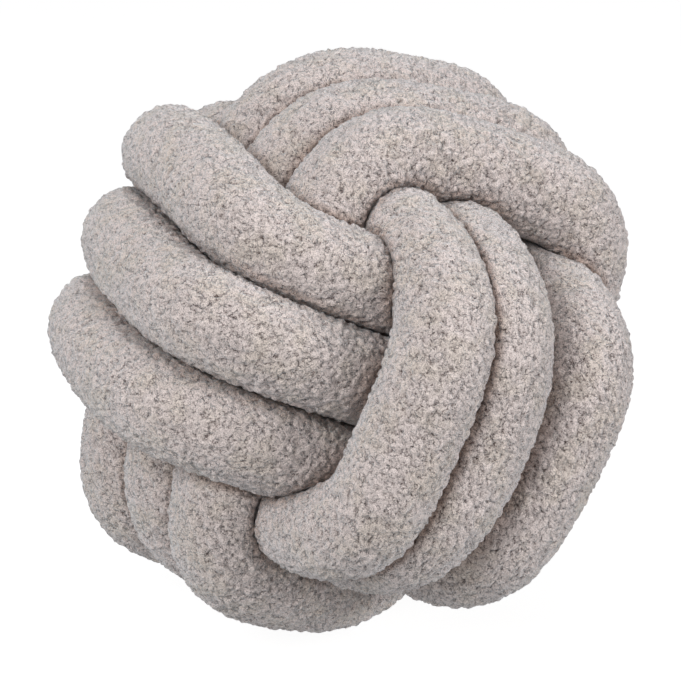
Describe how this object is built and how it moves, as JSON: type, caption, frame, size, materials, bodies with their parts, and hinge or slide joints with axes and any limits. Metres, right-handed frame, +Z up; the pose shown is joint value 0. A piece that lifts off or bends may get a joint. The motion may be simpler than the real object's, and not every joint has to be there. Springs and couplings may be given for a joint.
{
  "type": "knot cushion",
  "caption": "Ball-shaped cushion tied from a stuffed tube of teddy boucle: bands of parallel strands cross over and under each other in a monkey's fist knot.",
  "frame": {"origin": "on the floor, under the middle of the cushion's box", "axes": "+Z up from the floor it rests on; -Y is the front, towards the faces of strands shown first; +X to the right seen from the front"},
  "size_m": [0.2974, 0.3064, 0.2885],
  "materials": {
    "boucle": "matt looped teddy boucle, warm greige"
  },
  "bodies": {
    "root": {"knotted_tube": "boucle"}
  },
  "joints": []
}
